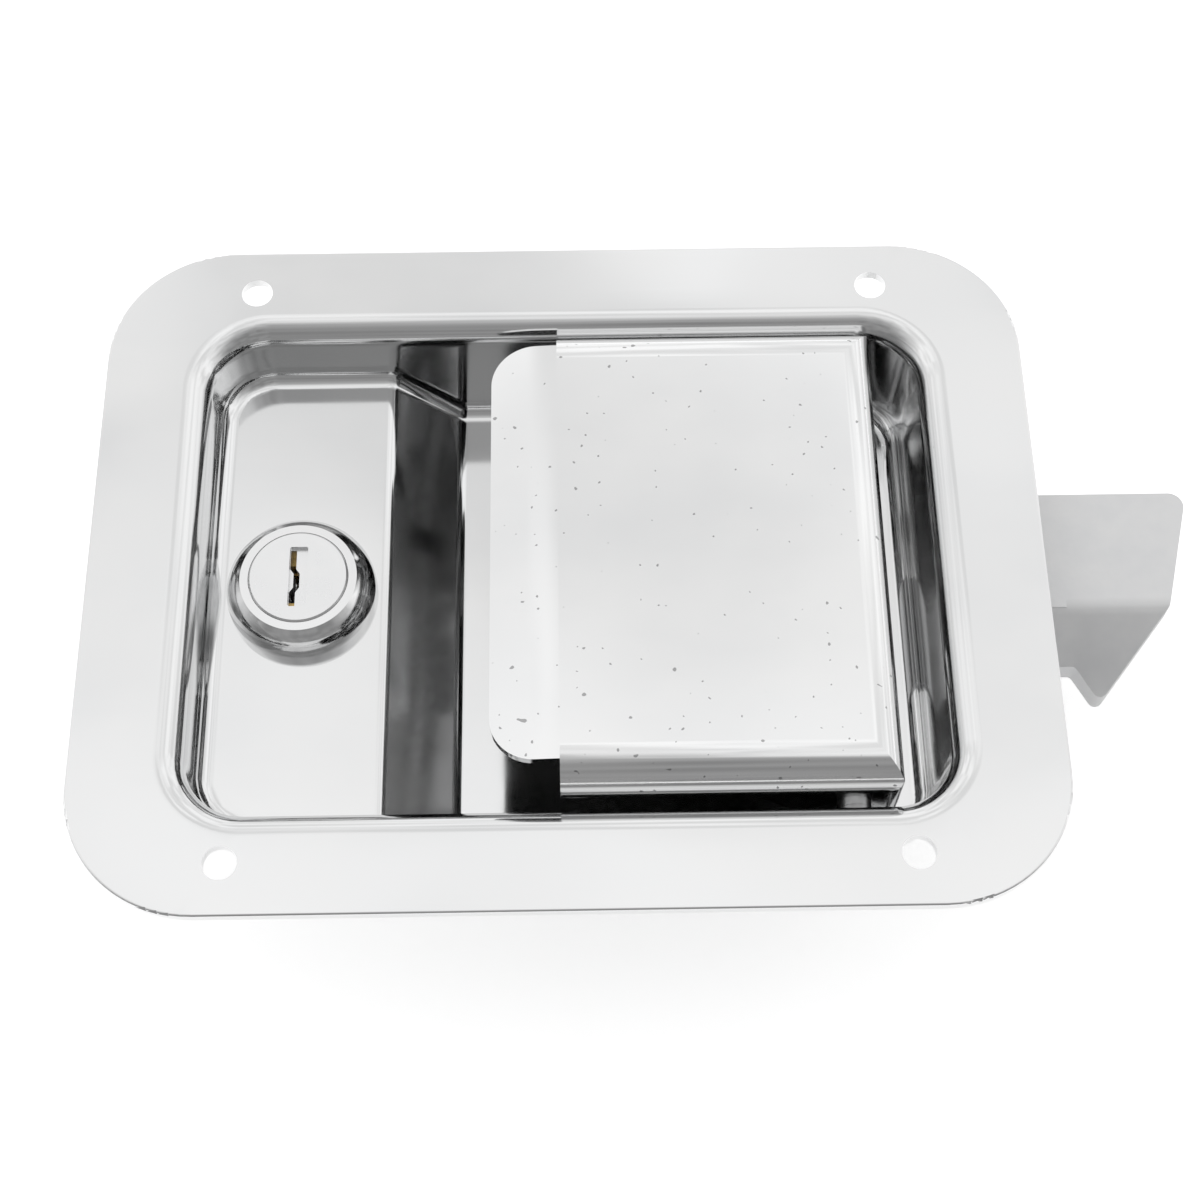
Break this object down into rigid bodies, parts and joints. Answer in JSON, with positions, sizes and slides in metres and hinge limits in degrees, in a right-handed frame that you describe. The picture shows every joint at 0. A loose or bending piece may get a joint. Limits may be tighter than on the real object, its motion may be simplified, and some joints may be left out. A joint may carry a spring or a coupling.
{
  "type": "paddle latch",
  "caption": "Flush paddle latch: drawn pan with screw flange, lift-up paddle, sliding slam bolt and a wafer key lock with cam.",
  "frame": {"origin": "centre of the flange's rear face, which lies on the panel", "axes": "+X towards the bolt's nose, +Y across the latch, +Z out of the front of the panel"},
  "size_m": [0.1648, 0.108, 0.0384],
  "materials": {
    "stainless_pan": "polished stainless steel, drawn",
    "stainless_paddle": "polished stainless steel, folded",
    "zinc_plate": "zinc-plated steel, matte",
    "pin_steel": "drawn steel bar",
    "spring_steel": "spring steel",
    "rivet_steel": "plated steel",
    "lock_chrome": "chromed zinc casting",
    "plug_face": "polished face",
    "nut_zinc": "zinc-plated nut",
    "brass": "stamped brass"
  },
  "bodies": {
    "pan": {"pan": "stainless_pan", "hinge_pin": "pin_steel", "pin_retainer_upper": "spring_steel", "pin_retainer_lower": "spring_steel", "paddle_spring": "spring_steel", "bolt_guide_bracket": "zinc_plate", "bracket_rivets": "rivet_steel", "bolt_spring": "spring_steel", "lock_housing": "lock_chrome", "lock_washer": "spring_steel", "lock_nut": "nut_zinc"},
    "paddle": {"paddle": "stainless_paddle", "trip_lever": "zinc_plate"},
    "bolt": {"bolt": "zinc_plate"},
    "lock_plug": {"lock_plug": "plug_face", "wafer_1": "brass", "wafer_2": "brass", "wafer_3": "brass", "wafer_4": "brass", "wafer_5": "brass", "wafer_springs": "spring_steel", "cam_stop_washer": "zinc_plate", "cam": "zinc_plate", "cam_spring_washer": "spring_steel", "cam_screw": "rivet_steel"}
  },
  "joints": [
    {"name": "paddle_hinge", "type": "hinge", "parent": "pan", "child": "paddle", "pos_m": [0.0403, 0, -0.0065], "axis": [0, 1, 0], "range_deg": [0, 37.89], "stiffness_Nm_per_rad": 0.25, "springref_deg": -45.84, "deforming": ["paddle_spring"]},
    {"name": "bolt_slide", "type": "slide", "parent": "pan", "child": "bolt", "axis": [-1, 0, 0], "range_m": [0, 0.0127], "deforming": ["bolt_spring"]},
    {"name": "lock_turn", "type": "hinge", "parent": "pan", "child": "lock_plug", "pos_m": [-0.0399, 0, -0.0101], "axis": [0, 0, -1], "range_deg": [0, 90]}
  ],
  "couplings": [
    {"joint": "bolt_slide", "follows": "paddle_hinge", "m_per_rad": 0.019205}
  ]
}
